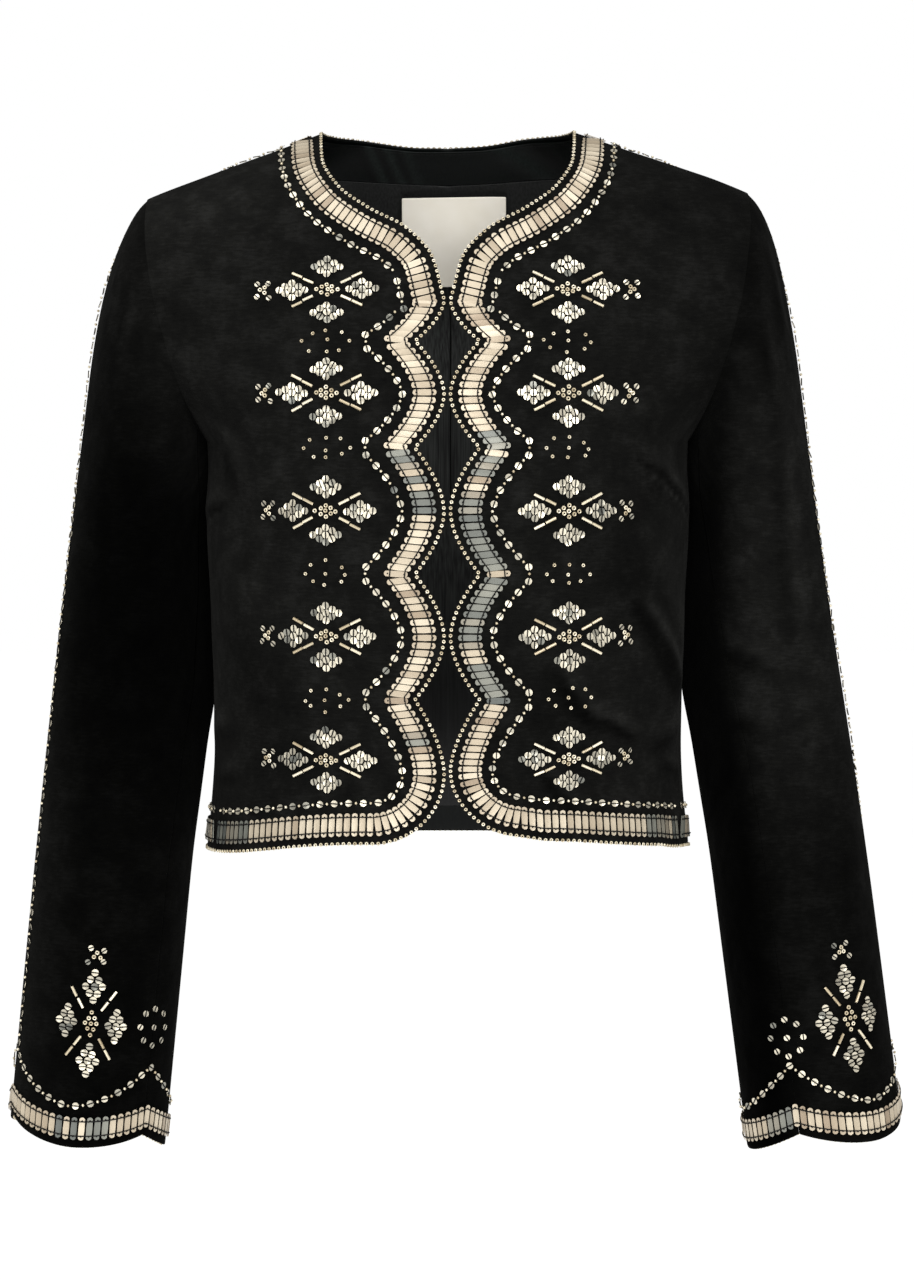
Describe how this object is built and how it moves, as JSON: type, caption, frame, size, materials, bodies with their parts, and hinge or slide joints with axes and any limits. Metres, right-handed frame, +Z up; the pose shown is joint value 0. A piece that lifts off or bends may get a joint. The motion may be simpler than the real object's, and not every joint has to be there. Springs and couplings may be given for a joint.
{
  "type": "cropped jacket",
  "caption": "Collarless cropped velvet jacket in worn hollow form, scalloped front edges and cuffs trimmed with metallic plates, sequins and beads.",
  "frame": {"origin": "midway between the two shoulder tips and level with the wearer's left one, where shoulders carry the jacket", "axes": "+X to the wearer's left, -Y to the front, +Z up"},
  "size_m": [0.5823, 0.2374, 0.6585],
  "materials": {
    "velvet": "black cotton velvet, short upright pile",
    "satin_lining": "black satin lining with a low sheen",
    "label_cloth": "plain woven cream tape, left bare",
    "plate_trim": "metallised champagne plates, sequins and beads"
  },
  "bodies": {
    "root": {"front_left": "velvet", "front_right": "velvet", "back": "velvet", "sleeve_upper_left": "velvet", "sleeve_upper_right": "velvet", "sleeve_under_left": "velvet", "sleeve_under_right": "velvet", "back_neck_facing": "satin_lining", "lining_back": "satin_lining", "label": "label_cloth", "plate_band_front_left": "plate_trim", "plate_band_front_right": "plate_trim", "plate_band_back_hem": "plate_trim", "plate_band_back_neck": "plate_trim", "plate_band_cuff_left": "plate_trim", "plate_band_cuff_right": "plate_trim"}
  },
  "joints": []
}
